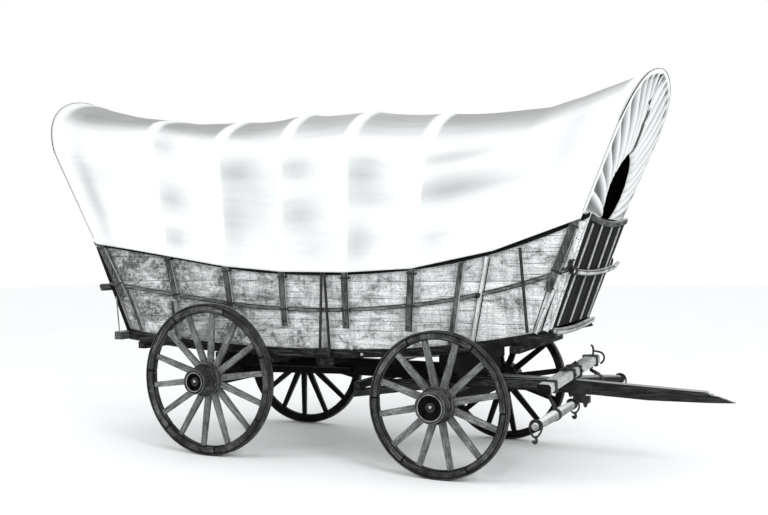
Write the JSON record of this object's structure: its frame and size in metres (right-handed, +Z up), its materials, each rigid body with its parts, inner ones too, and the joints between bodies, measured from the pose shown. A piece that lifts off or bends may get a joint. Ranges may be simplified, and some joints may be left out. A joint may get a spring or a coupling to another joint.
{
  "type": "covered wagon",
  "caption": "Freight wagon with a boat-shaped plank body, canvas cover on bent bows, spoked wheels, turning front gear, broken tongue and draught trees.",
  "frame": {"origin": "on the ground under the middle of the bounding box", "axes": "+X forward along the tongue, +Y to the left side of the wagon, +Z up"},
  "size_m": [6.3833, 2.056, 3.3672],
  "materials": {
    "board_wood": "weathered bare boards, silver grey with dark grain",
    "frame_wood": "weathered hardwood framing, dark grey",
    "gear_wood": "old dark painted timber, nearly black",
    "tree_wood": "bare pale hardwood",
    "wheel_wood": "worn dark grey painted wheels",
    "tyre_iron": "dull worn iron",
    "wrought_iron": "dark hand-forged iron",
    "canvas": "heavy off-white canvas"
  },
  "bodies": {
    "wagon": {"cover_front": "canvas", "cover_rear": "canvas", "cover_sheet": "canvas", "cross_sills": "frame_wood", "end_crosspieces": "frame_wood", "fifth_bow": "frame_wood", "floor_boards": "board_wood", "fourth_bow": "frame_wood", "front_boards": "board_wood", "front_bolster": "gear_wood", "front_bow": "frame_wood", "kingpin": "wrought_iron", "left_boards": "board_wood", "reach": "gear_wood", "rear_axle_arms": "wrought_iron", "rear_axle_bed": "gear_wood", "rear_bolster": "gear_wood", "rear_bow": "frame_wood", "rear_hounds": "gear_wood", "right_boards": "board_wood", "second_bow": "frame_wood", "side_irons": "wrought_iron", "side_rails": "frame_wood", "side_standards": "frame_wood", "sills": "frame_wood", "sixth_bow": "frame_wood", "tailgate_hinge_pins": "wrought_iron", "third_bow": "frame_wood"},
    "tailgate": {"tailgate_boards": "board_wood", "tailgate_battens": "frame_wood", "tailgate_straps": "wrought_iron"},
    "front_gear": {"front_axle_bed": "gear_wood", "front_axle_arms": "wrought_iron", "sand_board": "gear_wood", "front_hounds": "gear_wood", "sway_bar": "gear_wood", "tongue": "gear_wood", "tongue_irons": "wrought_iron"},
    "doubletree": {"doubletree_bar": "tree_wood", "doubletree_irons": "wrought_iron"},
    "right_singletree": {"right_singletree_bar": "tree_wood", "right_singletree_irons": "wrought_iron"},
    "left_singletree": {"left_singletree_bar": "tree_wood", "left_singletree_irons": "wrought_iron"},
    "right_rear_wheel": {"right_rear_tyre": "tyre_iron", "right_rear_felloes": "wheel_wood", "right_rear_spokes": "wheel_wood", "right_rear_hub": "wheel_wood"},
    "left_rear_wheel": {"left_rear_tyre": "tyre_iron", "left_rear_felloes": "wheel_wood", "left_rear_spokes": "wheel_wood", "left_rear_hub": "wheel_wood"},
    "right_front_wheel": {"right_front_tyre": "tyre_iron", "right_front_felloes": "wheel_wood", "right_front_spokes": "wheel_wood", "right_front_hub": "wheel_wood"},
    "left_front_wheel": {"left_front_tyre": "tyre_iron", "left_front_felloes": "wheel_wood", "left_front_spokes": "wheel_wood", "left_front_hub": "wheel_wood"}
  },
  "joints": [
    {"name": "right_rear_wheel_spin", "type": "hinge", "parent": "wagon", "child": "right_rear_wheel", "pos_m": [-1.0444, -0.83, 0.6605], "axis": [0, 1, 0], "continuous": true},
    {"name": "left_rear_wheel_spin", "type": "hinge", "parent": "wagon", "child": "left_rear_wheel", "pos_m": [-1.0444, 0.83, 0.6605], "axis": [0, 1, 0], "continuous": true},
    {"name": "right_front_wheel_spin", "type": "hinge", "parent": "front_gear", "child": "right_front_wheel", "pos_m": [1.1156, -0.83, 0.5715], "axis": [0, 1, 0], "continuous": true},
    {"name": "left_front_wheel_spin", "type": "hinge", "parent": "front_gear", "child": "left_front_wheel", "pos_m": [1.1156, 0.83, 0.5715], "axis": [0, 1, 0], "continuous": true},
    {"name": "front_gear_turn", "type": "hinge", "parent": "wagon", "child": "front_gear", "pos_m": [1.1156, 0, 0.75], "axis": [0, 0, 1], "range_deg": [-15, 15]},
    {"name": "doubletree_swing", "type": "hinge", "parent": "front_gear", "child": "doubletree", "pos_m": [1.9406, 0, 0.754], "axis": [0, 0, 1], "range_deg": [-5, 15]},
    {"name": "right_singletree_swing", "type": "hinge", "parent": "doubletree", "child": "right_singletree", "pos_m": [1.89754, -0.49221, 0.6646], "axis": [0, 0, 1], "range_deg": [-12, 12]},
    {"name": "left_singletree_swing", "type": "hinge", "parent": "doubletree", "child": "left_singletree", "pos_m": [1.9861, 0.52004, 0.7535], "axis": [0, 0, 1], "range_deg": [-12, 12]},
    {"name": "tailgate_drop", "type": "hinge", "parent": "wagon", "child": "tailgate", "pos_m": [-2.16185, 0, 1.06629], "axis": [0, 1, 0], "range_deg": [-95, 0]}
  ]
}
